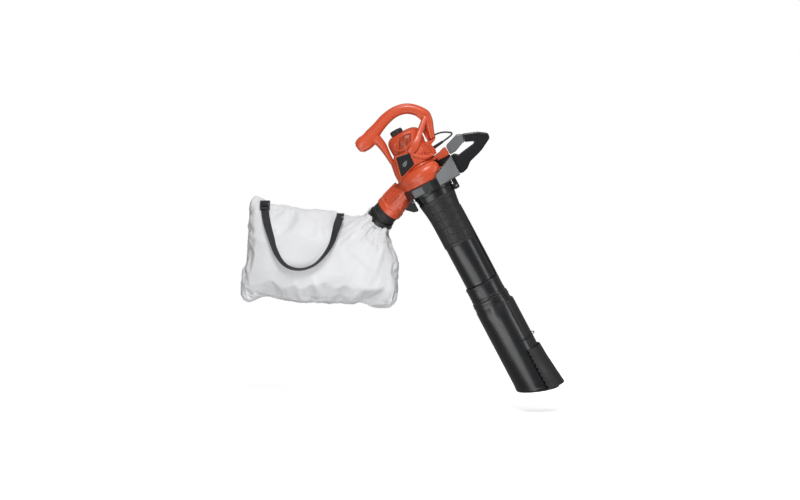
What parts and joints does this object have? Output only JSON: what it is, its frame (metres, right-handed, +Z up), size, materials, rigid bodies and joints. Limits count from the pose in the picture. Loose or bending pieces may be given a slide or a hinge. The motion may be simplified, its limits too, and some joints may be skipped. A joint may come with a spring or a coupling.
{
  "type": "leaf vacuum mulcher",
  "caption": "Electric leaf vacuum and mulcher: suction fan with top grip and front handle, two-piece suction tube, outlet duct and cloth collecting bag on a shoulder strap.",
  "frame": {"origin": "middle of the main grip, where the hand holds it", "axes": "+X forward and level, from the bag towards the tube's mouth; +Z up; +Y away from the side with the badge"},
  "size_m": [1.0422, 0.2327, 0.929],
  "materials": {
    "orange_plastic": "semi-gloss",
    "black_plastic": "gloss",
    "grey_plastic": "satin",
    "badge_black": "gloss",
    "black_rubber": "matte",
    "bright_steel": "bright",
    "brass": "bright",
    "copper": "bright copper",
    "white_cloth": "woven",
    "black_webbing": "woven webbing"
  },
  "bodies": {
    "machine": {"badge_plate": "badge_black", "bearing_bridge": "black_plastic", "bearing_carrier": "black_plastic", "brush_holder_far": "brass", "brush_holder_near": "brass", "carbon_brush_far": "black_plastic", "carbon_brush_near": "black_plastic", "field_coil_far": "copper", "field_coil_near": "copper", "front_handle_arm": "grey_plastic", "front_handle_grip": "black_plastic", "handle_far_shell": "orange_plastic", "handle_near_shell": "orange_plastic", "handle_wire": "black_rubber", "inlet_blade_far": "bright_steel", "inlet_blade_near": "bright_steel", "inlet_block": "black_plastic", "latch_pin": "bright_steel", "latch_spring": "bright_steel", "lead_strain_relief": "black_rubber", "lower_bearing": "bright_steel", "lower_fan_housing": "black_plastic", "motor_cover": "orange_plastic", "motor_housing": "orange_plastic", "motor_lead": "black_rubber", "shell_screw_1": "bright_steel", "shell_screw_2": "bright_steel", "shell_screw_3": "bright_steel", "shell_screw_4": "bright_steel", "stator_core": "bright_steel", "switch_body": "black_plastic", "tube_hook_pin": "bright_steel", "upper_bearing": "bright_steel", "volute_housing": "orange_plastic"},
    "rotor": {"rotor_shaft": "bright_steel", "armature_core": "bright_steel", "commutator": "copper", "cooling_fan": "black_plastic", "impeller": "black_plastic", "impeller_nut": "bright_steel"},
    "dial": {"speed_dial": "black_plastic"},
    "latch": {"tube_latch": "black_plastic"},
    "tube": {"upper_tube": "black_plastic", "lower_tube": "black_plastic", "scraper_stop": "black_plastic"},
    "scraper": {"leaf_scraper": "black_plastic"},
    "bag": {"bag": "white_cloth", "bag_adapter": "black_plastic", "bag_clamp_ring": "black_plastic", "strap_buckle": "black_plastic", "strap_end_tab": "black_webbing"},
    "strap": {"shoulder_strap": "black_webbing"}
  },
  "joints": [
    {"name": "rotor_spin", "type": "hinge", "parent": "machine", "child": "rotor", "pos_m": [0.1214, 0, -0.23898], "axis": [-0.4695, 0, 0.8829], "continuous": true},
    {"name": "dial_turn", "type": "hinge", "parent": "machine", "child": "dial", "pos_m": [0.0134, 0, -0.06355], "axis": [-0.4695, 0, 0.8829], "range_deg": [0, 240]},
    {"name": "latch_pivot", "type": "hinge", "parent": "machine", "child": "latch", "pos_m": [0.06335, -0.021, -0.2789], "axis": [0, 1, 0], "range_deg": [0, 14], "stiffness_Nm_per_rad": 0.5, "springref_deg": -5.73},
    {"name": "tube_swing", "type": "hinge", "parent": "machine", "child": "tube", "pos_m": [0.2016, 0, -0.22579], "axis": [0, -1, 0], "range_deg": [0, 35]},
    {"name": "scraper_slide", "type": "slide", "parent": "tube", "child": "scraper", "axis": [-0.4695, 0, 0.8829], "range_m": [0, 0.03]},
    {"name": "bag_pull", "type": "slide", "parent": "machine", "child": "bag", "axis": [-0.6463, 0.3, -0.7016], "range_m": [0, 0.045]},
    {"name": "strap_swing", "type": "hinge", "parent": "bag", "child": "strap", "pos_m": [-0.4106, 0.013, -0.3105], "axis": [-0.9955, -0.0446, 0.0837], "range_deg": [0, 90]}
  ]
}
